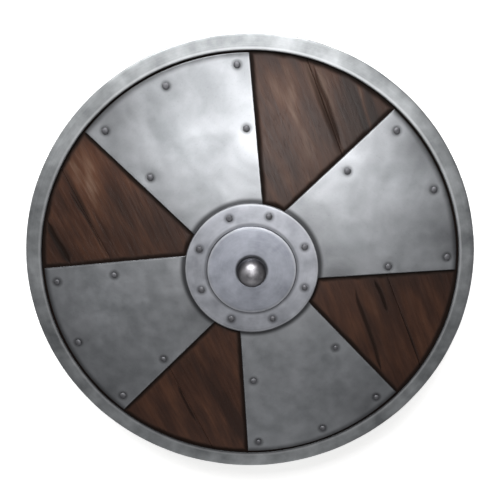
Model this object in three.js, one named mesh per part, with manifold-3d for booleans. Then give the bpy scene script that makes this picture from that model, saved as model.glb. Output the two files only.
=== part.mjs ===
// A round plank shield 600 mm across. Four riven oak planks lie side by side in a steel channel rim.
// Four steel plates, set like the sails of a windmill, are riveted over them, and a stepped steel boss
// with a domed knob covers the middle. A carved wooden grip and a leather arm strap are nailed behind.
//
// Millimetres, +Z up. The shield lies face up on its grip and strap. The origin is on the surface it
// lies on, under the middle of the rim; +Y is the upper edge and +X the right edge of its face.

import * as THREE from "three";
import { mergeVertices } from "three/addons/utils/BufferGeometryUtils.js";
import Module from "manifold-3d";

const wasm = await Module();
wasm.setup();

// ---- Driving dimensions ---------------------------------------------------------------------------

const FIT = 0.3; // gap left between two pieces that touch
const SHIELD_R = 300;
const STAND_OFF = 66; // from the surface it lies on to the back of the planks
const BOARD_T = 10;
const ROUND_STEPS = 64; // flats round the rim and the planks

// The rim is a channel of 2.8 mm steel folded over the edge of the planks.
const RIM_T = 2.8;
const RIM_FACE_W = 21.2;
const RIM_BACK_W = 14;
const RIM_CORNER = 1.6;
const RIM_LIP_W = 4; // sloped lip along the inner edge of its face
const RIM_LIP_DROP = 0.6;

// The planks run 23.7 degrees off the Y axis; their seams fan slightly, as riven boards do.
const GRAIN_NORMAL = 23.7;
const GRAIN_FAN = -0.0085; // degrees of turn for each mm from the middle
const PLANK_SEAMS = [-164.5, -28, 167]; // distances from the middle, across the grain

// Each plate is a sector whose straight edges are moved outwards past the centre line.
const PLATE_T = 1.6;
const PLATE_INNER_R = 64;
const PLATE_RIM_GAP = 2.2;
const PLATE_MIDDLE_R = 180;
const PLATE_EDGES = [
  { side: 1, angle: 94.4, offset: 22.3 },
  { side: -1, angle: 134.5, offset: 22.2 },
];

// The rivets were set by eye: [radius, angle] of the three along the rim, then of the two further in.
const PLATES = [
  {
    name: "upper_left",
    turn: 0.9,
    rivetsAt: [[262.3, 92.6], [258.4, 113.1], [258.3, 134.6], [183.9, 90.5], [177.3, 135.8]],
  },
  {
    name: "right",
    turn: -0.65,
    rivetsAt: [[263.8, 94.0], [261.9, 114.5], [260.2, 134.8], [185.8, 91.2], [181.1, 136.4]],
  },
  {
    name: "lower_right",
    turn: -1.1,
    rivetsAt: [[261.8, 93.8], [261.3, 114.7], [261.5, 134.4], [165.5, 92.8], [165.3, 137.0]],
  },
  {
    name: "left",
    turn: 0.8,
    rivetsAt: [[261.3, 93.5], [261.0, 113.4], [260.4, 135.4], [183.2, 92.3], [178.8, 136.8]],
  },
];

// The boss is a flange, a smaller disc on it and a knob whose stem clamps both.
const BOSS = new THREE.Vector2(2.2, -1.3); // a little off the middle, as it was riveted
const FLANGE = { r: 89.8, t: 2.8, bevelW: 3.2, bevelDrop: 0.6 };
const DISC = { r: 60.1, t: 4, bevelW: 4, bevelDrop: 0.8 };
const FLANGE_STEPS = 48;
const DISC_STEPS = 40;
const KNOB_STEPS = 20;
const KNOB = { r: 19.3, height: 26, bulge: 11, footR: 15, stemR: 5, washerR: 13, washerT: 2.5 };
const BOSS_RIVETS_AT = [
  [75.5, 112.9], [75.7, 72.3], [77.1, 23.8], [75.8, 340.5],
  [75.6, 292.4], [75.4, 248.3], [73.5, 202.8], [74.9, 158.1],
];

// Rivets: a domed head in front, a plain shank, and a flat clenched end behind.
const RIVET = { headR: 4.6, headH: 2.4, shankR: 2.4, clenchR: 4.6, clenchT: 1.4, clenchDome: 0.7 };
const RIVET_STEPS = 8;

// Grip: one carved piece, a bar on two posts with a nailing pad at each end.
const GRIP_X = 115;
const GRIP = { width: 30, bar: 24, halfGap: 50, halfUnder: 54, postOut: 67, halfLength: 95, padT: 11 };
const GRIP_ROUND = 3;

// Arm strap: thick harness leather, arched over the forearm, with a nailing foot at each end.
const STRAP_X = -85;
const STRAP = { width: 45, t: 4.5, halfCrown: 38, footFrom: 64, halfLength: 90 };

// Nails of the grip and the strap.
const NAIL = { headR: 4.6, headH: 2, shankR: 1.7, bite: 7 };
const NAIL_Y = { grip: 83, strap: 78 };
const NAIL_DX = { grip: 7, strap: 14 };

// ---- Heights, from the surface it lies on ---------------------------------------------------------

const BOARD_BACK = STAND_OFF;
const BOARD_FRONT = BOARD_BACK + BOARD_T;
const PLATE_BACK = BOARD_FRONT + FIT;
const PLATE_FRONT = PLATE_BACK + PLATE_T;
const FLANGE_BACK = PLATE_FRONT + FIT;
const FLANGE_FRONT = FLANGE_BACK + FLANGE.t;
const DISC_BACK = FLANGE_FRONT + FIT;
const DISC_FRONT = DISC_BACK + DISC.t;
const BOARD_R = SHIELD_R - RIM_T - FIT;

// ---- Materials ------------------------------------------------------------------------------------

const FINISH = {
  oak: { color: 0x3f2b24, roughness: 0.75, metalness: 0 },
  grip: { color: 0x5a3b28, roughness: 0.65, metalness: 0 },
  leather: { color: 0x3a2418, roughness: 0.6, metalness: 0 },
  plate: { color: 0xa3a6ab, roughness: 0.5, metalness: 1 },
  rim: { color: 0x9fa3a6, roughness: 0.45, metalness: 1 },
  knob: { color: 0x6e6c6d, roughness: 0.2, metalness: 1 },
  rivet: { color: 0x5f5f62, roughness: 0.4, metalness: 1 },
};

const shield = new THREE.Group();

function addPiece(name, geometry, finish) {
  const mesh = new THREE.Mesh(geometry, new THREE.MeshStandardMaterial(FINISH[finish]));
  mesh.name = name;
  shield.add(mesh);
  return mesh;
}

// ---- Geometry helpers -----------------------------------------------------------------------------

const rad = THREE.MathUtils.degToRad;

function polar(r, degrees) {
  return new THREE.Vector2(r * Math.cos(rad(degrees)), r * Math.sin(rad(degrees)));
}

function toSolid(geometry) {
  const bare = geometry.clone();
  bare.deleteAttribute("normal");
  bare.deleteAttribute("uv");
  const merged = mergeVertices(bare, 1e-4);
  const mesh = new wasm.Mesh({
    numProp: 3,
    vertProperties: new Float32Array(merged.attributes.position.array),
    triVerts: new Uint32Array(merged.index.array),
  });
  return new wasm.Manifold(mesh);
}

function toGeometry(solid) {
  const mesh = solid.getMesh();
  const geometry = new THREE.BufferGeometry();
  geometry.setAttribute("position", new THREE.BufferAttribute(mesh.vertProperties, 3));
  geometry.setIndex(new THREE.BufferAttribute(mesh.triVerts, 1));
  geometry.computeVertexNormals();
  return geometry;
}

// A turned piece: the profile is [radius, height] pairs, run anticlockwise, turned about Z.
function turned(profile, steps) {
  const points = profile.map(([r, z]) => new THREE.Vector2(r, z));
  return new THREE.LatheGeometry(points, steps).rotateX(Math.PI / 2);
}

// A flat piece of a given outline, from height z0 to z1.
function slab(shape, z0, z1, curveSegments = 8) {
  const options = { depth: z1 - z0, bevelEnabled: false, curveSegments };
  return new THREE.ExtrudeGeometry(shape, options).translate(0, 0, z0);
}

// A round drill of radius r through heights z0 to z1.
function drill(r, [x, y], z0, z1) {
  const bit = new THREE.CylinderGeometry(r, r, z1 - z0, RIVET_STEPS).rotateX(Math.PI / 2);
  return toSolid(bit.translate(x, y, (z0 + z1) / 2));
}

function drilled(geometry, drills) {
  const solid = drills.reduce((rest, bit) => rest.subtract(bit), toSolid(geometry));
  return toGeometry(solid);
}

// ---- Rivets and plate outlines --------------------------------------------------------------------

// A straight plate edge, turned about the plate's middle: its direction, outward normal and offset.
function turnedEdge(edge, middle, turn) {
  const normalOf = (degrees) => polar(edge.side, degrees - 90);
  const before = normalOf(edge.angle);
  const angle = edge.angle + turn;
  const normal = normalOf(angle);
  const offset = edge.offset + middle.dot(normal) - middle.dot(before);
  return { ...edge, angle, normal, offset };
}

// The point of a straight edge at radius r.
function edgePoint(edge, r) {
  const along = Math.sqrt(r * r - edge.offset * edge.offset);
  return polar(along, edge.angle).addScaledVector(edge.normal, edge.offset);
}

function plateLayout({ turn, rivetsAt }) {
  const middleAngle = (PLATE_EDGES[0].angle + PLATE_EDGES[1].angle) / 2;
  const middle = polar(PLATE_MIDDLE_R, middleAngle);
  const [right, left] = PLATE_EDGES.map((edge) => turnedEdge(edge, middle, turn));
  const outerR = SHIELD_R - RIM_FACE_W - PLATE_RIM_GAP;
  const corner = (edge, r) => edgePoint(edge, r).angle();
  const outline = new THREE.Shape();
  outline.absarc(0, 0, outerR, corner(right, outerR), corner(left, outerR), false);
  outline.absarc(0, 0, PLATE_INNER_R, corner(left, PLATE_INNER_R), corner(right, PLATE_INNER_R), true);
  outline.closePath();
  const rivets = rivetsAt.map(([r, angle]) => polar(r, angle + turn));
  return { outline, rivets };
}

// The plates follow each other clockwise, a quarter turn apart.
const plates = PLATES.map((plate, k) => {
  const { outline, rivets } = plateLayout(plate);
  const quarter = (-Math.PI / 2) * k;
  const placed = rivets.map((p) => p.clone().rotateAround(new THREE.Vector2(), quarter));
  return { name: plate.name, outline, quarter, rivets: placed };
});

const bossRivets = BOSS_RIVETS_AT.map(([r, angle]) => polar(r, angle).add(BOSS));

const nails = [];
for (const [holder, x] of [["grip", GRIP_X], ["strap", STRAP_X]]) {
  for (const y of [NAIL_Y[holder], -NAIL_Y[holder]]) {
    for (const dx of [NAIL_DX[holder], -NAIL_DX[holder]]) {
      nails.push({ holder, at: new THREE.Vector2(x + dx, y) });
    }
  }
}

const SHANK_HOLE_R = RIVET.shankR / Math.cos(Math.PI / RIVET_STEPS) + FIT;
const NAIL_HOLE_R = NAIL.shankR / Math.cos(Math.PI / RIVET_STEPS) + FIT;
const STEM_HOLE_R = KNOB.stemR / Math.cos(Math.PI / RIVET_STEPS) + FIT;
const plateRivets = plates.flatMap((plate) => plate.rivets);
const shankDrills = [...plateRivets, ...bossRivets].map((p) => {
  return drill(SHANK_HOLE_R, p.toArray(), BOARD_BACK - 1, FLANGE_FRONT + 1);
});
const stemDrill = drill(STEM_HOLE_R, BOSS.toArray(), BOARD_BACK - 1, DISC_FRONT + 1);
const nailDrills = nails.map(({ at }) => {
  return drill(NAIL_HOLE_R, at.toArray(), 1, BOARD_BACK + NAIL.bite + FIT);
});

// ---- Planks ---------------------------------------------------------------------------------------

// One side of a plank: a long line across the board at a given distance from the middle.
function seamLine(distance, inset) {
  const normalAngle = GRAIN_NORMAL + GRAIN_FAN * distance;
  const foot = polar(distance + inset, normalAngle);
  const reach = polar(2 * SHIELD_R, normalAngle + 90);
  return [foot.clone().sub(reach), foot.clone().add(reach)];
}

const seams = [-SHIELD_R - 1, ...PLANK_SEAMS, SHIELD_R + 1];
const board = new THREE.CylinderGeometry(BOARD_R, BOARD_R, BOARD_T, ROUND_STEPS)
  .rotateX(Math.PI / 2)
  .translate(0, 0, BOARD_BACK + BOARD_T / 2);
const drilledBoard = [...shankDrills, stemDrill, ...nailDrills]
  .reduce((rest, bit) => rest.subtract(bit), toSolid(board));

for (let k = 0; k < seams.length - 1; k += 1) {
  const [lowStart, lowEnd] = seamLine(seams[k], FIT / 2);
  const [highStart, highEnd] = seamLine(seams[k + 1], -FIT / 2);
  const strip = new THREE.Shape([lowStart, highStart, highEnd, lowEnd]);
  const cutter = toSolid(slab(strip, BOARD_BACK - 1, BOARD_FRONT + 1));
  addPiece(`plank_${k + 1}`, toGeometry(drilledBoard.intersect(cutter)), "oak");
}

// ---- Rim ------------------------------------------------------------------------------------------

const rimTop = BOARD_FRONT + FIT + RIM_T;
const rimBottom = BOARD_BACK - FIT - RIM_T;
const rimFaceR = SHIELD_R - RIM_FACE_W;
const rimBackR = SHIELD_R - RIM_BACK_W;
const rimProfile = [
  [SHIELD_R - RIM_CORNER, rimBottom],
  [SHIELD_R, rimBottom + RIM_CORNER],
  [SHIELD_R, rimTop - RIM_CORNER],
  [SHIELD_R - RIM_CORNER, rimTop],
  [rimFaceR + RIM_LIP_W, rimTop],
  [rimFaceR, rimTop - RIM_LIP_DROP],
  [rimFaceR, BOARD_FRONT + FIT],
  [BOARD_R + FIT, BOARD_FRONT + FIT],
  [BOARD_R + FIT, BOARD_BACK - FIT],
  [rimBackR, BOARD_BACK - FIT],
  [rimBackR, rimBottom],
  [SHIELD_R - RIM_CORNER, rimBottom],
];
addPiece("rim", turned(rimProfile, ROUND_STEPS), "rim");

// ---- Steel plates ---------------------------------------------------------------------------------

for (const { name, outline, quarter } of plates) {
  const blank = slab(outline, PLATE_BACK, PLATE_FRONT).rotateZ(quarter);
  addPiece(`plate_${name}`, drilled(blank, [...shankDrills, stemDrill]), "plate");
}

// ---- Boss -----------------------------------------------------------------------------------------

// A round plate with a hole for the stem and a bevelled outer edge, its back at height z.
function bossPlate({ r, t, bevelW, bevelDrop }, z, steps) {
  const profile = [
    [STEM_HOLE_R, z],
    [r, z],
    [r, z + t - bevelDrop],
    [r - bevelW, z + t],
    [STEM_HOLE_R, z + t],
    [STEM_HOLE_R, z],
  ];
  return turned(profile, steps).translate(BOSS.x, BOSS.y, 0);
}

addPiece("boss_flange", drilled(bossPlate(FLANGE, FLANGE_BACK, FLANGE_STEPS), shankDrills), "plate");
addPiece("boss_disc", bossPlate(DISC, DISC_BACK, DISC_STEPS), "plate");

// The knob bulges out from its foot to its widest, then closes in a quarter ellipse.
function knobProfile() {
  const base = DISC_FRONT + FIT;
  const washerTop = BOARD_BACK - FIT;
  const profile = [
    [0, washerTop - KNOB.washerT],
    [KNOB.washerR, washerTop - KNOB.washerT],
    [KNOB.washerR, washerTop],
    [KNOB.stemR, washerTop],
    [KNOB.stemR, base],
    [KNOB.footR, base],
  ];
  const lowerSteps = 2;
  for (let k = 1; k < lowerSteps; k += 1) {
    const lift = (Math.PI / 2) * (k / lowerSteps);
    const r = KNOB.footR + (KNOB.r - KNOB.footR) * Math.sin(lift);
    profile.push([r, base + KNOB.bulge * (1 - Math.cos(lift))]);
  }
  const upperSteps = 5;
  for (let k = 0; k < upperSteps; k += 1) {
    const lift = (Math.PI / 2) * (k / upperSteps);
    const rise = (KNOB.height - KNOB.bulge) * Math.sin(lift);
    profile.push([KNOB.r * Math.cos(lift), base + KNOB.bulge + rise]);
  }
  profile.push([0, base + KNOB.height]);
  return profile;
}
addPiece("boss_knob", turned(knobProfile(), KNOB_STEPS).translate(BOSS.x, BOSS.y, 0), "knob");

// ---- Rivets ---------------------------------------------------------------------------------------

// A rivet whose head sits on a surface at height z, clenched against the back of the planks.
function rivetGeometry(z) {
  const under = z + FIT;
  const clench = BOARD_BACK - FIT;
  const { headR, headH, shankR, clenchR, clenchT, clenchDome } = RIVET;
  const profile = [
    [0, clench - clenchT - clenchDome],
    [clenchR, clench - clenchT],
    [clenchR, clench],
    [shankR, clench],
    [shankR, under],
    [headR, under],
    [headR * 0.75, under + headH * 0.7],
    [0, under + headH],
  ];
  return turned(profile, RIVET_STEPS);
}

for (const { name, rivets } of plates) {
  rivets.forEach((p, k) => {
    const rivet = rivetGeometry(PLATE_FRONT).translate(p.x, p.y, 0);
    addPiece(`rivet_${name}_${k + 1}`, rivet, "rivet");
  });
}
bossRivets.forEach((p, k) => {
  addPiece(`rivet_boss_${k + 1}`, rivetGeometry(FLANGE_FRONT).translate(p.x, p.y, 0), "rivet");
});

// ---- Grip and arm strap ---------------------------------------------------------------------------

// A side outline drawn in Y and Z, given a width along X and centred on x.
function crosswise(shape, x, width, bevel) {
  const options = {
    depth: width - 2 * bevel,
    curveSegments: 6,
    bevelEnabled: bevel > 0,
    bevelThickness: bevel,
    bevelSize: bevel,
    bevelOffset: -bevel,
    bevelSegments: 1,
  };
  const geometry = new THREE.ExtrudeGeometry(shape, options);
  geometry.translate(0, 0, -options.depth / 2);
  return geometry.rotateX(Math.PI / 2).rotateZ(Math.PI / 2).translate(x, 0, 0);
}

function gripOutline() {
  const top = BOARD_BACK - FIT;
  const { bar, halfGap, halfUnder, postOut, halfLength, padT } = GRIP;
  const fillet = 12;
  const padFillet = 6;
  const shape = new THREE.Shape();
  shape.moveTo(-halfUnder, 0);
  shape.lineTo(halfUnder, 0);
  shape.quadraticCurveTo(postOut, 2, postOut, bar);
  shape.lineTo(postOut, top - padT - padFillet);
  shape.quadraticCurveTo(postOut, top - padT, postOut + padFillet, top - padT);
  shape.lineTo(halfLength, top - padT);
  shape.lineTo(halfLength, top);
  shape.lineTo(halfGap, top);
  shape.lineTo(halfGap, bar + fillet);
  shape.quadraticCurveTo(halfGap, bar, halfGap - fillet, bar);
  shape.lineTo(fillet - halfGap, bar);
  shape.quadraticCurveTo(-halfGap, bar, -halfGap, bar + fillet);
  shape.lineTo(-halfGap, top);
  shape.lineTo(-halfLength, top);
  shape.lineTo(-halfLength, top - padT);
  shape.lineTo(-postOut - padFillet, top - padT);
  shape.quadraticCurveTo(-postOut, top - padT, -postOut, top - padT - padFillet);
  shape.lineTo(-postOut, bar);
  shape.quadraticCurveTo(-postOut, 2, -halfUnder, 0);
  return shape;
}

// The strap's outline is its middle line thickened both ways.
function strapOutline() {
  const footZ = BOARD_BACK - FIT - STRAP.t / 2;
  const crownZ = STRAP.t / 2;
  const pull = 20;
  const rise = new THREE.CubicBezierCurve(
    new THREE.Vector2(STRAP.halfCrown, crownZ),
    new THREE.Vector2(STRAP.halfCrown + pull, crownZ),
    new THREE.Vector2(STRAP.footFrom - pull, footZ),
    new THREE.Vector2(STRAP.footFrom, footZ),
  );
  const riseSteps = 7;
  const half = rise.getPoints(riseSteps);
  const tangents = half.map((_, k) => rise.getTangent(k / riseSteps));
  half.push(new THREE.Vector2(STRAP.halfLength, footZ));
  tangents.push(new THREE.Vector2(1, 0));
  const side = (sign) => half.map((p, k) => {
    const normal = new THREE.Vector2(tangents[k].y, -tangents[k].x);
    return p.clone().addScaledVector(normal, (sign * STRAP.t) / 2);
  });
  const mirrored = (points) => points.map((p) => new THREE.Vector2(-p.x, p.y));
  const below = [...mirrored(side(1)).reverse(), ...side(1)];
  const above = [...side(-1).reverse(), ...mirrored(side(-1))];
  return new THREE.Shape([...below, ...above]);
}

const gripBlank = crosswise(gripOutline(), GRIP_X, GRIP.width, GRIP_ROUND);
addPiece("grip", drilled(gripBlank, nailDrills), "grip");
const strapBlank = crosswise(strapOutline(), STRAP_X, STRAP.width, 0);
addPiece("arm_strap", drilled(strapBlank, nailDrills), "leather");

// A nail driven up through a pad or foot of the given thickness into the back of the planks.
function nailGeometry(thickness) {
  const seat = BOARD_BACK - FIT - thickness - FIT;
  const tip = BOARD_BACK + NAIL.bite;
  const profile = [
    [0, seat - NAIL.headH],
    [NAIL.headR, seat],
    [NAIL.shankR, seat],
    [NAIL.shankR, tip - 2],
    [0, tip],
  ];
  return turned(profile, RIVET_STEPS);
}
const nailSeat = { grip: GRIP.padT, strap: STRAP.t };
nails.forEach(({ holder, at }, k) => {
  const nail = nailGeometry(nailSeat[holder]).translate(at.x, at.y, 0);
  addPiece(`nail_${holder}_${(k % 4) + 1}`, nail, "rivet");
});

export default shield;
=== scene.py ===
"""A round plank shield lying face up: oak, a steel rim and plates, a stepped boss, grip and strap."""

import logging
import math
from collections.abc import Callable, Iterable, Sequence
from dataclasses import dataclass, field
from enum import Enum
from functools import partial, reduce

import bmesh
import bpy
import numpy as np
from bpy.types import NodeSocket, NodeTree, Object
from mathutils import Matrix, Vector
from mathutils.geometry import convex_hull_2d
from numpy import ndarray


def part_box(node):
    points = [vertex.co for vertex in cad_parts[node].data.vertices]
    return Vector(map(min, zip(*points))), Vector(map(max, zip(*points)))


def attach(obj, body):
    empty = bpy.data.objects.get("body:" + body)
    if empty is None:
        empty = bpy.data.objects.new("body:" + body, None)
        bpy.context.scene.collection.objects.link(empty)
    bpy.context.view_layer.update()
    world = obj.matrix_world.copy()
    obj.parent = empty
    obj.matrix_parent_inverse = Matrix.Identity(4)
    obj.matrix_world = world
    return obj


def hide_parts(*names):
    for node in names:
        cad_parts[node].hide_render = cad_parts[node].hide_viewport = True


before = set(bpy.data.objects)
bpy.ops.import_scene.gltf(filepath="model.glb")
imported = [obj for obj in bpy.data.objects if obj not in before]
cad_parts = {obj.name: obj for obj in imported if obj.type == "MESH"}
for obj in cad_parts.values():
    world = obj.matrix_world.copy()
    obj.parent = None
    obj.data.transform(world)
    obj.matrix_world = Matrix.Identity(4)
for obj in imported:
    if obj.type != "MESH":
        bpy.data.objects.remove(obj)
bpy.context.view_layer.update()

log = logging.getLogger("shield")

MM = 0.001
BODY = "root"
PLANKS, PLATE_RIVETS, BOSS_RIVETS, NAILS = 4, 5, 8, 4
MIX_FACTOR, MIX_A, MIX_B, MIX_RESULT = 0, 6, 7, 2

Pair = tuple[float, float]
Triple = tuple[float, float, float]
Source = float | Sequence[float] | NodeSocket
Links = dict[str | int, Source]
Plan = Callable[[float], ndarray]
Relief = Callable[[ndarray, ndarray], ndarray]


class Side(Enum):
    """The four plates, clockwise."""

    UPPER_LEFT = "upper_left"
    RIGHT = "right"
    LOWER_RIGHT = "lower_right"
    LEFT = "left"


class Slot(Enum):
    """The finish slots."""

    OAK = "oak"
    RIM = "rim_steel"
    PLATE = "plate_steel"
    KNOB = "knob_steel"
    RIVET = "rivet_steel"
    GRIP = "grip_wood"
    STRAP = "leather"


class Pick(Enum):
    """Which one of several values is taken."""

    LEAST = "MINIMUM"
    MOST = "MAXIMUM"


# ---- Shared tools ---------------------------------------------------------------------------------

def linear(hex_code: str) -> tuple[float, float, float, float]:
    """Turns an sRGB hex colour to linear RGBA.

    Args:
        hex_code: six hex digits.

    Returns:
        Red, green, blue and an alpha of 1.
    """
    channels = [int(hex_code[k:k + 2], 16) / 255 for k in (0, 2, 4)]
    return (*(c / 12.92 if c <= 0.04045 else ((c + 0.055) / 1.055) ** 2.4 for c in channels), 1.0)


def stops_at(places: Sequence[float], *hex_codes: str) -> list[tuple[float, Sequence[float]]]:
    """Gives the stops of a colour ramp."""
    return list(zip(places, map(linear, hex_codes)))


def add_node(tree: NodeTree, kind: str, links: Links | None = None, out: int | str = 0,
             stops: Sequence[tuple[float, Sequence[float]]] = (), **settings: object) -> NodeSocket:
    """Adds a shader node with its settings, values and links.

    Args:
        tree: the material's node tree.
        kind: the node's type without its "ShaderNode" prefix.
        links: a value or another node's output for each input.
        out: the output to hand back.
        stops: positions and colours of a colour ramp.
        settings: the node's own properties.

    Returns:
        The chosen output socket.
    """
    node = tree.nodes.new("ShaderNode" + kind)
    for name, value in settings.items():
        setattr(node, name, value)
    for key, value in (links or {}).items():
        if isinstance(value, NodeSocket):
            tree.links.new(value, node.inputs[key])
        else:
            node.inputs[key].default_value = value
    if stops:
        ramp = node.color_ramp
        while len(ramp.elements) < len(stops):
            ramp.elements.new(1.0)
        for element, (position, colour) in zip(ramp.elements, stops):
            element.position, element.color = position, colour
    return node.outputs[out] if len(node.outputs) else None


def weighed(tree: NodeTree, base: Source, *parts: tuple[NodeSocket, float]) -> NodeSocket:
    """Adds values to a base, each times its weight.

    Args:
        tree: the material's node tree.
        base: the value to start from.
        parts: each value with its weight.

    Returns:
        The sum.
    """
    for value, weight in parts:
        base = add_node(tree, "Math", {0: value, 1: weight, 2: base}, operation="MULTIPLY_ADD")
    return base


def extreme(tree: NodeTree, pick: Pick, values: Iterable[NodeSocket]) -> NodeSocket:
    """Picks the least or the greatest of several values."""
    return reduce(lambda a, b: add_node(tree, "Math", {0: a, 1: b}, operation=pick.value), values)


def shaded(tree: NodeTree, tone: Source, gloss: Source, relief: Source, bump: Pair,
           **more: Source) -> NodeSocket:
    """Makes a finish's shader.

    Args:
        tree: the material's node tree.
        tone: its colour.
        gloss: its roughness.
        relief: its fine relief.
        bump: the relief's strength and its depth in millimetres.
        more: any other inputs, with their words joined by "_".

    Returns:
        The shader.
    """
    normal = add_node(tree, "Bump", {"Height": relief, "Strength": bump[0], "Distance": bump[1] * MM})
    others = {key.replace("_", " "): value for key, value in more.items()}
    return add_node(tree, "BsdfPrincipled", {"Base Color": tone, "Roughness": gloss, "Normal": normal,
                                             **others})


class Unevenness:
    """Smooth random relief that is the same on every run."""

    LATTICE = 64

    def __init__(self, seed: int) -> None:
        """Draws the lattice of heights for one seed."""
        self.heights = np.random.default_rng(seed).uniform(-1.0, 1.0, (self.LATTICE, self.LATTICE))

    def at(self, u: ndarray, v: ndarray) -> ndarray:
        """Reads the relief, one lattice step for each whole number.

        Args:
            u: first coordinates.
            v: second coordinates.

        Returns:
            Heights from -1 to 1.
        """
        column, row = np.floor(u).astype(int), np.floor(v).astype(int)
        a, b = smooth_step(u - column), smooth_step(v - row)
        size, h = self.LATTICE, self.heights
        left, right = column % size, (column + 1) % size
        low, high = row % size, (row + 1) % size
        return ((h[left, low] * (1 - a) + h[right, low] * a) * (1 - b)
                + (h[left, high] * (1 - a) + h[right, high] * a) * b)


def smooth_step(x: ndarray) -> ndarray:
    """Eases 0 to 1 between x = 0 and x = 1."""
    x = np.clip(x, 0.0, 1.0)
    return x * x * (3 - 2 * x)


def mesh_object(name: str, points: ndarray, faces: Iterable[Sequence[int]],
                marks: dict[str, ndarray] | None = None) -> Object:
    """Makes a smooth-shaded closed mesh.

    Args:
        name: the object's name.
        points: vertices in millimetres, one row each.
        faces: vertex numbers of each face.
        marks: one number per vertex under each name.

    Returns:
        The new object, linked to the scene.
    """
    mesh = bpy.data.meshes.new(name)
    mesh.from_pydata((np.asarray(points) * MM).tolist(), [], [list(map(int, f)) for f in faces])
    for key, values in (marks or {}).items():
        mesh.attributes.new(key, "FLOAT", "POINT").data.foreach_set("value", values.astype(np.float32))
    shell = bmesh.new()
    shell.from_mesh(mesh)
    bmesh.ops.remove_doubles(shell, verts=shell.verts, dist=0.001 * MM)
    bmesh.ops.recalc_face_normals(shell, faces=shell.faces)
    shell.to_mesh(mesh)
    shell.free()
    mesh.shade_smooth()
    made = bpy.data.objects.new(name, mesh)
    bpy.context.scene.collection.objects.link(made)
    return made


def settle(piece: Object, finish: "Finish", node: str) -> None:
    """Gives a piece its finish and its body, and hides the frame node that it stands for.

    Args:
        piece: the finished mesh.
        finish: the finish of its whole surface.
        node: the frame node it replaces.
    """
    piece.data.materials.clear()
    piece.data.materials.append(finish.material())
    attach(piece, BODY)
    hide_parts(node)
    log.info("%s: %d faces, %s", piece.name, len(piece.data.polygons), finish.slot.value)


def corners(node: str) -> tuple[ndarray, ndarray]:
    """Gives the lowest and highest corner of a frame node in millimetres."""
    low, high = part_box(node)
    return np.array(low) / MM, np.array(high) / MM


def outline(node: str) -> ndarray:
    """Gives a frame node's vertices in plan in millimetres."""
    return np.array([v.co[:2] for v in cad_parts[node].data.vertices]) / MM


def radii(node: str) -> ndarray:
    """Gives the distances of a frame node's vertices from the shield's axis in millimetres."""
    return np.hypot(*outline(node).T)


@dataclass(frozen=True)
class Line:
    """A straight edge in plan: points p with p . (cos angle, sin angle) = offset, in millimetres."""

    angle: float
    offset: float

    def normal(self) -> ndarray:
        """Unit vector across the line."""
        return np.array([math.cos(self.angle), math.sin(self.angle)])

    def turned(self) -> "Line":
        """The same line with its normal the other way."""
        return Line(self.angle + math.pi, -self.offset)


def straight_edges(node: str, shortest: float = 100.0, slack: float = 0.05) -> list[Line]:
    """Finds the long straight edges of a flat frame node, with normals that point outwards.

    Args:
        node: the frame node.
        shortest: the least length of such an edge in millimetres.
        slack: how far off a straight side a point still counts as on it, in millimetres.

    Returns:
        One line for each edge.
    """
    plan = outline(node)
    ring = [plan[k] for k in convex_hull_2d(plan.tolist())]
    middle = np.mean(ring, axis=0)
    first = max(range(len(ring)), key=lambda k: np.linalg.norm(ring[k] - middle))
    kept: list[ndarray] = []
    for c in ring[first:] + ring[:first + 1]:
        # a point that a rivet hole leaves along a straight side is passed over
        while len(kept) > 1 and abs(np.linalg.det(np.array([kept[-1] - kept[-2], c - kept[-2]]))
                                    ) < slack * np.linalg.norm(c - kept[-2]):
            kept.pop()
        kept.append(c)
    lines: list[Line] = []
    for a, b in zip(kept, kept[1:]):
        along = b - a
        if np.linalg.norm(along) < shortest:
            continue
        across = np.array([along[1], -along[0]]) / np.linalg.norm(along)
        if across @ (a - middle) < 0:
            across = -across
        lines.append(Line(math.atan2(across[1], across[0]), float(across @ a)))
    return lines


@dataclass(frozen=True)
class Patch:
    """A soft round patch in plan, in millimetres, and how much lighter or darker its middle is."""

    x: float
    y: float
    reach: float
    share: float

    def at(self, x: ndarray, y: ndarray) -> ndarray:
        """Gives the patch's share at each point."""
        return self.share * np.exp(-((x - self.x) ** 2 + (y - self.y) ** 2) / self.reach ** 2)


def spread(marks: Sequence["Patch | Streak"]) -> Relief:
    """Makes the function that adds up patches or streaks at points in plan."""
    return lambda x, y: sum((mark.at(x, y) for mark in marks), np.zeros_like(x))


def numbered(stem: str, count: int) -> list[str]:
    """Names the copies of a repeated piece."""
    return [f"{stem}_{k}" for k in range(1, count + 1)]


@dataclass(frozen=True)
class Foot:
    """The outline in plan of a round piece, whose foot gathers dirt, in millimetres."""

    x: float
    y: float
    radius: float

    @classmethod
    def of(cls, node: str) -> "Foot":
        """Reads the outline of a round frame node."""
        low, high = corners(node)
        return cls(*(low + high)[:2] / 2, (high[0] - low[0]) / 2)

    def away(self, tree: NodeTree, flat: NodeSocket) -> NodeSocket:
        """Measures how far a point in plan is outside the piece."""
        gap = add_node(tree, "VectorMath", {0: flat, 1: (self.x, self.y, 0)}, out="Value",
                       operation="DISTANCE")
        return add_node(tree, "Math", {0: gap, 1: self.radius}, operation="SUBTRACT")


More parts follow.
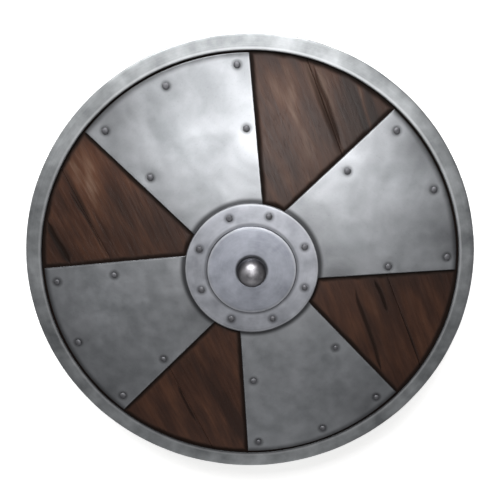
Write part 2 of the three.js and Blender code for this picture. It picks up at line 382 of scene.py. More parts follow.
@dataclass(frozen=True)
class DirtAndShadeRing:
    """Dirt and painted shade round the feet of some pieces, with distances in millimetres outwards from
    them.
    """

    feet: tuple[Foot, ...]
    full: float  # as far as this it is at its thickest
    gone: float  # here it ends
    ragged: float  # how far the mottle moves its end
    most: float  # its share of the colour at its thickest

    def share(self, tree: NodeTree, flat: NodeSocket, mottle: NodeSocket) -> NodeSocket:
        """Gives the share of the dirt and painted shade in the colour.

        Args:
            tree: the material's node tree.
            flat: coordinates in plan.
            mottle: noise that makes the reach of the dirt and painted shade uneven.

        Returns:
            The share, from 0 to the most.
        """
        away = extreme(tree, Pick.LEAST, [foot.away(tree, flat) for foot in self.feet])
        gone = weighed(tree, self.gone, (mottle, self.ragged))
        return add_node(tree, "MapRange", {"Value": away, "From Min": self.full, "From Max": gone,
                                           "To Min": self.most, "To Max": 0.0},
                        interpolation_type="SMOOTHSTEP")


def round_rivets(names: Sequence[str]) -> DirtAndShadeRing:
    """Gives the dirt and painted shade that gather round rivet heads."""
    return DirtAndShadeRing(tuple(Foot.of(name) for name in names), full=-0.3, gone=2.8, ragged=3.4, most=0.55)


# ---- Finishes -------------------------------------------------------------------------------------

@dataclass(frozen=True)
class Finish:
    """A material made once and shared by the pieces that have it."""

    name: str
    slot: Slot | None = None

    def material(self) -> bpy.types.Material:
        """Makes the material the first time and hands back the same one after that.

        Returns:
            The material.
        """
        made = bpy.data.materials.get(self.name)
        if made is None:
            made = bpy.data.materials.new(self.name)
            made.use_nodes = True
            made.node_tree.nodes.clear()
            add_node(made.node_tree, "OutputMaterial", {"Surface": self.surface(made.node_tree)})
        return made

    def surface(self, tree: NodeTree) -> NodeSocket:
        """Adds the nodes of the finish and gives its shader."""
        raise NotImplementedError

    @staticmethod
    def millimetres(tree: NodeTree, turn: float = 0.0, shift: Triple = (0, 0, 0),
                    stretch: Triple = (1, 1, 1)) -> NodeSocket:
        """Gives surface coordinates in millimetres, turned about Z and then stretched.

        Args:
            tree: the material's node tree.
            turn: angle in radians.
            shift: distance to move the pattern, in millimetres.
            stretch: factor along each axis.

        Returns:
            A vector socket.
        """
        place = add_node(tree, "TexCoord", out="Object")
        turned = add_node(tree, "Mapping", {"Vector": place, "Rotation": (0, 0, turn)})
        scale = tuple(s / MM for s in stretch)
        return add_node(tree, "Mapping", {"Vector": turned, "Location": tuple(shift), "Scale": scale})

    def in_plan(self, tree: NodeTree) -> NodeSocket:
        """Gives surface coordinates in millimetres without their height."""
        return add_node(tree, "VectorMath", {0: self.millimetres(tree), 1: (1, 1, 0)}, operation="MULTIPLY")


@dataclass(frozen=True)
class SoiledAndShaded(Finish):
    """A finish with light and dark patches, with dirt and painted shade laid over it."""

    # the dark colour of dirt, pits and pores, also laid on as painted shade
    grime_and_shade: str = "313133"

    def grimed_and_shaded(self, tree: NodeTree, tone: Source, share: NodeSocket) -> NodeSocket:
        """Lays the dark colour over a share of a colour: for pits, pores, dirt and painted shade."""
        return add_node(tree, "Mix", {MIX_FACTOR: share, MIX_A: tone, MIX_B: linear(self.grime_and_shade)},
                        out=MIX_RESULT, data_type="RGBA")

    @staticmethod
    def patchy(tree: NodeTree, tone: Source) -> NodeSocket:
        """Lightens and darkens a colour by the mesh's "light" mark."""
        light = weighed(tree, 1.0, (add_node(tree, "Attribute", out="Fac", attribute_name="light"), 1.0))
        return add_node(tree, "VectorMath", {0: tone, "Scale": light}, operation="SCALE")


@dataclass(frozen=True)
class GroundSteel(SoiledAndShaded):
    """Mild steel sheet ground by hand and left to dull: cloudy greys, fine scratches, bright worn edges."""

    dark: str = "94979A"
    light: str = "C9CBCF"
    edge: str = "D2D3D5"
    tones: Pair = (0.30, 0.72)
    weights: Triple = (0.64, 0.17, 0.06)  # of clouds, mottle and scratches
    cloud_mm: float = 52.0
    cloud_rough: float = 0.45
    swirl: float = 0.4
    mottle_mm: float = 15.0
    grit_mm: float = 0.9  # true scratches are about 0.2 mm apart; coarser ones show from further off
    scratch_length: float = 45.0  # as a multiple of their width
    pit_mm: float = 1.9
    pit_range: Pair = (0.60, 0.74)
    pit_dark: float = 0.16
    brush_turn: float = 0.0
    shift: Triple = (0.0, 0.0, 0.0)
    roughness: float = 0.41
    gloss: Pair = (0.11, -0.06)  # how much mottle and clouds add to the roughness
    scratch_relief: float = 0.35
    bump: Pair = (0.14, 0.25)
    dirt_and_shade_rings: tuple[DirtAndShadeRing, ...] = ()
    # dirt and painted shade darken the plate along its outer edge, beside the rim
    arc: Foot | None = None  # the outer edge beside the rim
    arc_dirt_and_shade: Triple = (-6.5, 3.0, 0.86)  # where it starts and is thickest outwards from there, its share
    arc_ragged: float = 4.0

    def scratched(self, tree: NodeTree, place: NodeSocket) -> NodeSocket:
        """Gives the coordinates in which the scratches run straight."""
        return self.millimetres(tree, self.brush_turn, self.shift, (1.0, 1 / self.scratch_length, 1.0))

    def spotted(self, tree: NodeTree, place: NodeSocket, tone: NodeSocket) -> NodeSocket:
        """Adds small dark pits to a colour.

        Args:
            tree: the material's node tree.
            place: surface coordinates.
            tone: the colour without them.

        Returns:
            The pitted colour.
        """
        few, many = self.pit_range
        pits = add_node(tree, "TexNoise", {"Vector": place, "Scale": 1 / self.pit_mm, "Detail": 2.0})
        specks = add_node(tree, "MapRange", {"Value": pits, "From Min": few, "From Max": many,
                                             "To Max": self.pit_dark})
        return self.grimed_and_shaded(tree, tone, specks)

    def soiled_and_shaded(self, tree: NodeTree, tone: Source, mottle: NodeSocket) -> NodeSocket:
        """Adds the worn edges, then the dirt and painted shade round rivets and stepped pieces, on steep
        edges and along the outer edge.

        Args:
            tree: the material's node tree.
            tone: the clean colour.
            mottle: noise that makes the reach of the dirt and painted shade uneven.

        Returns:
            The colour with its dirt, painted shade and wear.
        """
        flat = self.in_plan(tree)
        wear, soot_and_shade = (add_node(tree, "Attribute", out="Fac", attribute_name=mark)
                      for mark in ("worn", "soot_and_shade"))
        worn = add_node(tree, "Mix", {MIX_FACTOR: wear, MIX_A: self.patchy(tree, tone),
                                      MIX_B: linear(self.edge)}, out=MIX_RESULT, data_type="RGBA")
        # the edge mark, the rings and the band along the outer edge all hold painted shade as well as dirt
        dirt = [soot_and_shade, *(dirt_and_shade_ring.share(tree, flat, mottle) for dirt_and_shade_ring in self.dirt_and_shade_rings)]
        if self.arc:
            start, full, most = self.arc_dirt_and_shade
            past = weighed(tree, self.arc.away(tree, flat), (mottle, self.arc_ragged))
            dirt.append(add_node(tree, "MapRange", {"Value": past, "From Min": start, "From Max": full,
                                                    "To Max": most}, interpolation_type="SMOOTHSTEP"))
        return self.grimed_and_shaded(tree, worn, extreme(tree, Pick.MOST, dirt))

    def surface(self, tree: NodeTree) -> NodeSocket:
        """Adds the nodes of the finish.

        Args:
            tree: the material's node tree.

        Returns:
            Its shader.
        """
        place = self.millimetres(tree, shift=self.shift)
        clouds, mottle, scratches = (
            add_node(tree, "TexNoise", {"Vector": vector, "Scale": 1 / size, "Detail": detail,
                                        "Roughness": rough, "Distortion": swirl})
            for vector, size, detail, rough, swirl in (
                (place, self.cloud_mm, 3.0, self.cloud_rough, self.swirl),
                (place, self.mottle_mm, 5.0, 0.62, 0.0),
                (self.scratched(tree, place), self.grit_mm, 3.0, 0.7, 0.0)))
        blend = weighed(tree, (1 - sum(self.weights)) / 2, *zip((clouds, mottle, scratches), self.weights))
        tone = add_node(tree, "ValToRGB", {"Fac": blend},
                        stops=stops_at(self.tones, self.dark, self.light))
        tone = self.soiled_and_shaded(tree, self.spotted(tree, place, tone), mottle)
        gloss = weighed(tree, self.roughness - sum(self.gloss) / 2, *zip((mottle, clouds), self.gloss))
        relief = weighed(tree, mottle, (scratches, self.scratch_relief))
        return shaded(tree, tone, gloss, relief, self.bump, Metallic=1.0)


@dataclass(frozen=True)
class TurnedSteel(GroundSteel):
    """Steel dressed round its own axis: its fine scratches run in circles, and a dome's flank gets painted
    shade.
    """

    tones: Pair = (0.38, 0.64)
    weights: Triple = (0.55, 0.3, 0.15)
    cloud_rough: float = 0.5
    swirl: float = 0.0
    gloss: Pair = (0.14, 0.0)
    scratch_relief: float = 0.4
    bump: Pair = (0.2, 0.2)
    # a dome's flank, darkened with painted shade: where that starts and where it is darkest, in millimetres
    # from the axis, and its share
    flank: Pair | None = None
    flank_shade: float = 0.93

    def reach(self, tree: NodeTree, place: NodeSocket) -> NodeSocket:
        """Gives the distance from the axis."""
        flat = add_node(tree, "VectorMath", {0: place, 1: (1, 1, 0)}, operation="MULTIPLY")
        return add_node(tree, "VectorMath", {0: flat}, out="Value", operation="LENGTH")

    def scratched(self, tree: NodeTree, place: NodeSocket) -> NodeSocket:
        """Gives the coordinates in which the scratches run in circles.

        Args:
            tree: the material's node tree.
            place: surface coordinates from the axis.

        Returns:
            Distance from the axis, angle and height.
        """
        across, up, height = add_node(tree, "SeparateXYZ", {0: place}).node.outputs[:3]
        angle = add_node(tree, "Math", {0: up, 1: across}, operation="ARCTAN2")
        return add_node(tree, "CombineXYZ", {"X": self.reach(tree, place), "Y": angle, "Z": height})

    def spotted(self, tree: NodeTree, place: NodeSocket, tone: NodeSocket) -> NodeSocket:
        """Darkens the flank of a dome with painted shade.

        Args:
            tree: the material's node tree.
            place: surface coordinates from the axis.
            tone: the colour of the crown.

        Returns:
            The colour, with painted shade on the flank if the piece has one.
        """
        if self.flank is None:
            return tone
        near, far = self.flank
        share = add_node(tree, "MapRange", {"Value": self.reach(tree, place), "From Min": near,
                                            "From Max": far, "To Max": self.flank_shade},
                         interpolation_type="SMOOTHSTEP")
        return self.grimed_and_shaded(tree, tone, share)


@dataclass(frozen=True, kw_only=True)
class OiledOak(SoiledAndShaded):
    """Oak planks, sawn, stained and oiled: long streaky figure, open pores, black dirt and painted shade
    beside the steel.
    """

    shade: str = "24130B"
    body: str = "311C12"
    glow: str = "43291B"
    pale: str = "645043"
    grime_and_shade: str = "140C08"
    tones: tuple[float, ...] = (0.34, 0.48, 0.64, 0.84)
    grain: float
    shift: Triple
    sway_mm: float = 38.0
    sway: float = 14.0
    band_mm: float = 15.0
    streak_mm: float = 3.2
    pore_mm: float = 1.0  # true pores are about 0.3 mm wide; coarser ones show from further off
    cloud_mm: float = 30.0
    lengths: Triple = (5.0, 22.0, 16.0)  # of bands, streaks and pores, as multiples of their width
    weights: tuple[float, ...] = (0.5, 0.2, 0.3, 0.2)  # of bands, streaks, clouds and hand-set streaks
    pore_range: Pair = (0.56, 0.72)
    pore_dark: float = 0.25
    pore_relief: float = -0.6
    roughness: float = 0.29
    # dirt below means dirt and painted shade beside the steel, and dirt in the checks and seams
    gloss: Pair = (0.2, 0.25)  # how much streaks and dirt add to the roughness
    shine: Pair = (0.5, -0.4)  # how bright clean wood reflects, and how much dirt adds to that
    bump: Pair = (0.28, 0.4)
    plates: tuple[tuple[Line, ...], ...]
    rim: Foot
    flange: Foot
    mid_height: float  # half-way through the board: the steel's dirt stays above it
    fade_mm: float = 2.0
    # a band of black dirt and painted shade beside the steel, where shade falls from its step: its width,
    # where it starts, how ragged it is and its darkest share
    grime_and_shade_mm: float = 5.5
    grime_and_shade_from: float = -1.5
    grime_and_shade_ragged: float = 7.0
    grime_and_shade_most: float = 0.97

    def steel_distance(self, tree: NodeTree) -> NodeSocket:
        """Measures how far the wood is from the nearest plate edge, rim or flange.

        Args:
            tree: the material's node tree.

        Returns:
            The distance in millimetres.
        """
        flat = self.in_plan(tree)
        inside = weighed(tree, 0.0, (self.rim.away(tree, flat), -1.0))
        gaps = [inside, self.flange.away(tree, flat)]
        for edges in self.plates:
            past = [add_node(tree, "VectorMath", {0: flat, 1: (*line.normal(), 0)}, out="Value",
                             operation="DOT_PRODUCT") for line in edges]
            gaps.append(extreme(tree, Pick.MOST, [
                add_node(tree, "Math", {0: gone, 1: line.offset}, operation="SUBTRACT")
                for gone, line in zip(past, edges)]))
        return extreme(tree, Pick.LEAST, gaps)

    def dirt_and_shade_share(self, tree: NodeTree, bands: NodeSocket) -> NodeSocket:
        """Gives the share of dirt and painted shade: both beside the steel on the face, dirt in the checks
        and along the seams.

        Args:
            tree: the material's node tree.
            bands: noise that makes the edge of the dirt and painted shade ragged.

        Returns:
            The share, from 0 to 1.
        """
        near = weighed(tree, self.steel_distance(tree), (bands, -self.grime_and_shade_ragged))
        dirt = add_node(tree, "MapRange", {
            "Value": near, "From Min": self.grime_and_shade_from, "From Max": self.grime_and_shade_from + self.grime_and_shade_mm,
            "To Min": self.grime_and_shade_most, "To Max": 0.0}, interpolation_type="SMOOTHSTEP")
        height = add_node(tree, "SeparateXYZ", {0: self.millimetres(tree)}, out="Z")
        face = add_node(tree, "MapRange", {"Value": height, "From Min": self.mid_height,
                                           "From Max": self.mid_height + self.fade_mm})
        dirt = add_node(tree, "Math", {0: dirt, 1: face}, operation="MULTIPLY")
        soot_and_shade = add_node(tree, "Attribute", out="Fac", attribute_name="soot_and_shade")
        return extreme(tree, Pick.MOST, (dirt, soot_and_shade))

    def surface(self, tree: NodeTree) -> NodeSocket:
        """Adds the nodes of the finish.

        Args:
            tree: the material's node tree.

        Returns:
            Its shader.
        """
        add = partial(add_node, tree)
        lazy, along, stroke = (self.millimetres(tree, -self.grain, self.shift, (1.0, 1 / length, 1.0))
                               for length in self.lengths)
        sway = add("TexNoise", {"Vector": lazy, "Scale": 1 / self.sway_mm, "Detail": 2.0}, out="Color")
        along = add("VectorMath", {0: sway, 1: (self.sway, 0, 0), 2: along}, operation="MULTIPLY_ADD")
        bands, streaks, pores, clouds = (
            add("TexNoise", {"Vector": vector, "Scale": 1 / size, "Detail": detail, "Roughness": rough})
            for vector, size, detail, rough in (
                (lazy, self.band_mm, 3.0, 0.55), (along, self.streak_mm, 4.0, 0.6),
                (stroke, self.pore_mm, 2.0, 0.5), (lazy, self.cloud_mm, 3.0, 0.5)))
        few, many = self.pore_range
        pores = add("MapRange", {"Value": pores, "From Min": few, "From Max": many})
        streaked = add("Attribute", out="Fac", attribute_name="tone")
        figure = weighed(tree, 0.0, *zip((bands, streaks, clouds, streaked), self.weights))
        tone = add("ValToRGB", {"Fac": figure},
                   stops=stops_at(self.tones, self.shade, self.body, self.glow, self.pale))
        tone = self.grimed_and_shaded(tree, tone, weighed(tree, 0.0, (pores, self.pore_dark)))
        dirt = self.dirt_and_shade_share(tree, bands)
        tone = self.grimed_and_shaded(tree, self.patchy(tree, tone), dirt)
        gloss = weighed(tree, self.roughness, *zip((streaks, dirt), self.gloss))
        shine = weighed(tree, self.shine[0], (dirt, self.shine[1]))
        relief = weighed(tree, streaks, (pores, self.pore_relief))
        return shaded(tree, tone, gloss, relief, self.bump, IOR=1.46, Specular_IOR_Level=shine)


@dataclass(frozen=True)
class WaxedLeather(Finish):
    """Thick harness leather, waxed: dark brown, pebbled grain, creases that catch a soft shine."""

    dark: str = "23150E"
    light: str = "4A2F20"
    tones: Pair = (0.35, 0.68)
    grain_mm: float = 1.6
    crease_mm: float = 22.0
    roughness: float = 0.36
    gloss: float = 0.25  # how much the creases add to the roughness
    relief: Pair = (-0.25, 1.2)  # of the pebbles and the creases
    bump: Pair = (0.6, 0.6)

    def surface(self, tree: NodeTree) -> NodeSocket:
        """Adds the nodes of the finish.

        Args:
            tree: the material's node tree.

        Returns:
            Its shader.
        """
        place = self.millimetres(tree)
        cells = add_node(tree, "TexVoronoi", {"Vector": place, "Scale": 1 / self.grain_mm}, out="Distance",
                         feature="SMOOTH_F1")
        creases = add_node(tree, "TexNoise", {"Vector": place, "Scale": 1 / self.crease_mm, "Detail": 5.0,
                                              "Roughness": 0.6})
        tone = add_node(tree, "ValToRGB", {"Fac": creases},
                        stops=stops_at(self.tones, self.dark, self.light))
        gloss = weighed(tree, self.roughness, (creases, self.gloss))
        relief = weighed(tree, 0.0, *zip((cells, creases), self.relief))
        return shaded(tree, tone, gloss, relief, self.bump, IOR=1.5, Coat_Weight=0.15, Coat_Roughness=0.35)


@dataclass(frozen=True)
class CarvedAsh(Finish):
    """Ash carved with a knife, oiled and darkened by the hand: warm brown with fine even streaks."""

    dark: str = "4A2D1C"
    light: str = "8A5E3E"
    tones: Pair = (0.36, 0.62)
    ring_mm: float = 3.0
    ring_length: float = 18.0  # as a multiple of its width
    hand_mm: float = 30.0
    weights: Pair = (0.4, 0.6)  # of the hand's darkening and the rings
    roughness: float = 0.3
    gloss: float = 0.3  # how much the hand adds to the roughness
    bump: Pair = (0.35, 0.4)

    def surface(self, tree: NodeTree) -> NodeSocket:
        """Adds the nodes of the finish.

        Args:
            tree: the material's node tree.

        Returns:
            Its shader.
        """
        along = self.millimetres(tree, stretch=(1.0, 1 / self.ring_length, 1.0))
        rings = add_node(tree, "TexNoise", {"Vector": along, "Scale": 1 / self.ring_mm, "Detail": 4.0,
                                            "Roughness": 0.6, "Distortion": 0.3})
        hand = add_node(tree, "TexNoise", {"Vector": self.millimetres(tree), "Scale": 1 / self.hand_mm,
                                           "Detail": 3.0})
        tone = add_node(tree, "ValToRGB", {"Fac": weighed(tree, 0.0, *zip((hand, rings), self.weights))},
                        stops=stops_at(self.tones, self.dark, self.light))
        gloss = weighed(tree, self.roughness, (hand, self.gloss))
        return shaded(tree, tone, gloss, rings, self.bump, IOR=1.5, Coat_Weight=0.1, Coat_Roughness=0.3)


@dataclass(frozen=True)
class WhitePaper(Finish):
    """Matt white paper, pressed: even, with the faintest clouds of fibre, and a little light of its own."""

    dark: str = "F4F4F3"
    light: str = "F7F7F6"
    tones: Pair = (0.3, 0.7)
    cloud_mm: float = 333.0
    roughness: float = 0.9
    glow: float = 0.6

    def surface(self, tree: NodeTree) -> NodeSocket:
        """Adds the nodes of the finish.

        Args:
            tree: the material's node tree.

        Returns:
            Its shader.
        """
        fibres = add_node(tree, "TexNoise", {"Vector": self.millimetres(tree), "Scale": 1 / self.cloud_mm,
                                             "Detail": 2.0})
        tone = add_node(tree, "ValToRGB", {"Fac": fibres},
                        stops=stops_at(self.tones, self.dark, self.light))
        return add_node(tree, "BsdfPrincipled", {"Base Color": tone, "Roughness": self.roughness,
                                                 "Emission Color": tone, "Emission Strength": self.glow})


# ---- Shapes that several pieces share -------------------------------------------------------------

@dataclass
class Slab:
    """A flat piece of any four-sided outline with rounded edges and relief on both faces.

    The plan gives a grid of points for an inset from the outline, so all its layers share one layout.
    """

    name: str
    plan: Plan
    low: float
    high: float
    round_edge: float
    fall: float
    top_relief: Relief
    back_relief: Relief
    marks: dict[str, Relief]
    edge_worn: float
    edge_soot_and_shade: float = 0.0
    edge_steps: int = 4

    def build(self) -> Object:
        """Builds the closed mesh.

        Returns:
            The new object.
        """
        plan = self.plan(self.round_edge)
        rows, columns = plan.shape[:2]
        cells = np.arange(rows * columns).reshape(rows, columns)
        ring = np.concatenate([cells[0, :], cells[1:, -1], cells[-1, -2::-1], cells[-2:0:-1, 0]])
        flat = plan.reshape(-1, 2)
        top_z, back_z = self.high + self.top_relief(*flat.T), self.low + self.back_relief(*flat.T)
        sweep = np.linspace(0, math.pi / 2, self.edge_steps + 1)[1:]
        walls = []
        for start, way, angles in ((top_z, -1, sweep), (back_z, 1, sweep[::-1])):
            for a in angles:
                edge = self.plan(self.round_edge * (1 - math.sin(a))).reshape(-1, 2)[ring]
                walls.append(np.c_[edge, start[ring] + way * self.fall * (1 - math.cos(a))])
        points = np.concatenate([np.c_[flat, top_z], *walls, np.c_[flat, back_z]])
        last = len(points) - len(flat)
        quads = np.stack([cells[:-1, :-1], cells[1:, :-1], cells[1:, 1:], cells[:-1, 1:]], -1).reshape(-1, 4)
        between = len(flat) + np.arange(len(walls) * len(ring)).reshape(len(walls), len(ring))
        loops = [ring, *between, last + ring]
        bands = [np.stack([a, b, np.roll(b, -1), np.roll(a, -1)], -1) for a, b in zip(loops, loops[1:])]
        edge = np.ones(len(points))
        edge[:len(flat)] = edge[last:] = 0.0
        # the edge walls get soot and painted shade, the faces none
        marks = {"soot_and_shade": edge * self.edge_soot_and_shade}
        edge[ring] = edge[last + ring] = 1.0
        marks["worn"] = edge * self.edge_worn
        marks |= {key: mark(*points[:, :2].T) for key, mark in self.marks.items()}
        return mesh_object(self.name, points, np.concatenate([quads, quads[:, ::-1] + last, *bands]), marks)


def rounded(points: Iterable[Triple], steps: int = 5) -> ndarray:
    """Rounds the corners of a closed profile.

    Args:
        points: radius, height and rounding of each corner, in millimetres.
        steps: points on each rounded corner.

    Returns:
        Radius and height of each point of the closed profile.
    """
    made: list[ndarray] = []
    sharp = np.array(list(points), float)
    for corner, before, after in zip(sharp, np.roll(sharp, 1, axis=0), np.roll(sharp, -1, axis=0)):
        place, rounding = corner[:2], corner[2]
        if rounding <= 0:
            made.append(place)
            continue
        before, after = (way / np.linalg.norm(way) for way in (before[:2] - place, after[:2] - place))
        for t in np.linspace(0, 1, steps):
            made.append(place + rounding * ((1 - t) ** 2 * before + t ** 2 * after))
    return np.array(made)


def quarter_oval(middle: Pair, reach: float, rise: float, steps: int, fullness: float = 1.0) -> list[Pair]:
    """Traces a quarter of an oval from its crown out to its widest ring.

    Args:
        middle: radius and height of its centre.
        reach: how far out it goes from there.
        rise: how far up its crown is from there, or down where it is negative.
        steps: points on it.
        fullness: 1 for a true oval, less for a fuller shoulder.

    Returns:
        Radius and height of each point.
    """
    return [(middle[0] + reach * math.sin(a) ** fullness, middle[1] + rise * math.cos(a))
            for a in np.linspace(0, math.pi / 2, steps)]


@dataclass
class Lathe:
    """A piece swept round an upright axis from a closed profile, a little uneven as handwork is.

    Its marks have a number for each point of the profile, and its light is a pattern in plan.
    """

    name: str
    profile: ndarray
    axis: Foot
    steps: int
    wobble: float
    ripple_mm: float
    seed: int
    marks: dict[str, ndarray] = field(default_factory=dict)
    light: Relief | None = None
    lift: float = 0.6  # how much of the wobble goes up and down
    swell_shift: float = 20.0
    lift_shift: float = 7.0

    def build(self) -> Object:
        """Builds the closed mesh.

        Returns:
            The new object.
        """
        turn = np.linspace(0, 2 * math.pi, self.steps, endpoint=False)
        reach, height = self.profile.T
        x, y = np.outer(np.cos(turn), reach), np.outer(np.sin(turn), reach)
        u, v = x / self.ripple_mm + self.swell_shift, y / self.ripple_mm + self.swell_shift
        swell = Unevenness(self.seed).at(u, v + height / self.ripple_mm)
        lift = Unevenness(self.seed + 1).at(u + self.lift_shift, v)
        factor = 1 + self.wobble * swell / np.maximum(reach, 1.0)
        points = np.stack([x * factor + self.axis.x, y * factor + self.axis.y,
                           height + self.wobble * self.lift * lift], -1).reshape(-1, 3)
        cells = np.arange(len(points)).reshape(x.shape)
        step = np.roll(cells, -1, axis=0)
        faces = np.stack([cells, step, np.roll(step, -1, axis=1), np.roll(cells, -1, axis=1)], -1)
        if reach[0] == 0:
            faces = faces[:, :-1]
        marks = {key: np.tile(values, self.steps) for key, values in self.marks.items()}
        if self.light:
            marks["light"] = self.light(*points[:, :2].T)
        return mesh_object(self.name, points, faces.reshape(-1, 4), marks)


# ---- Planks ---------------------------------------------------------------------------------------

@dataclass(frozen=True)
class Run:
    """A narrow stretch along the grain of a plank, from one point to another, in millimetres."""

    start: Pair
    end: Pair
    width: float

    def place(self, x: ndarray, y: ndarray) -> tuple[ndarray, ndarray, float]:
        """Measures where points in plan lie beside the stretch.

        Args:
            x: first plan coordinates.
            y: second plan coordinates.

        Returns:
            How far along it and across it each point is, and its length.
        """
        a, b = np.array(self.start), np.array(self.end)
        length = np.linalg.norm(b - a)
        along = (b - a) / length
        s = (x - a[0]) * along[0] + (y - a[1]) * along[1]
        return s, (x - a[0]) * along[1] - (y - a[1]) * along[0], length


@dataclass(frozen=True)
class Check(Run):
    """A split along the grain, dark inside and for some of its widths on both sides."""

    depth: float
    soot_and_shade: float
    halo: float
    bend: float = 1.3
    bend_mm: float = 24.0
    taper: float = 0.22
    steep: float = 1.7
    stain_steep: float = 1.25

    def strength(self, x: ndarray, y: ndarray, wander: Unevenness, widths: float) -> ndarray:
        """Tells how deep in the split each point is.

        Args:
            x: first plan coordinates.
            y: second plan coordinates.
            wander: relief that bends the split.
            widths: factor on its width.

        Returns:
            0 outside to 1 along the middle of the split.
        """
        s, across, length = self.place(x, y)
        bend = wander.at(s / self.bend_mm + self.start[0], np.full_like(s, self.start[1]))
        end = smooth_step(s / length / self.taper) * smooth_step((1 - s / length) / self.taper)
        half = np.maximum(self.width * widths * end / 2, 0.001)
        return np.clip(1 - np.abs(across + self.bend * bend) / half, 0, 1) * (end > 0)

    def cut(self, x: ndarray, y: ndarray, wander: Unevenness) -> ndarray:
        """Gives how deep the split is at each point."""
        return self.depth * np.minimum(self.strength(x, y, wander, 1.0) * self.steep, 1.0)

    def stain(self, x: ndarray, y: ndarray, wander: Unevenness) -> ndarray:
        """Gives how dark the split and its sides are at each point."""
        return self.soot_and_shade * smooth_step(self.strength(x, y, wander, self.halo) * self.stain_steep)


@dataclass(frozen=True)
class Streak(Run):
    """A lighter or darker band along the grain; its tone is below 0 for dark and above 0 for light."""

    tone: float
    fade: float = 14.0

    def at(self, x: ndarray, y: ndarray) -> ndarray:
        """Gives the band's share of the tone at each point.

        Args:
            x: first plan coordinates.
            y: second plan coordinates.

        Returns:
            The shares.
        """
        s, across, length = self.place(x, y)
        ends = np.maximum(np.maximum(-s, s - length), 0) / self.fade
        return self.tone * np.exp(-(across / self.width) ** 2 - ends ** 2)


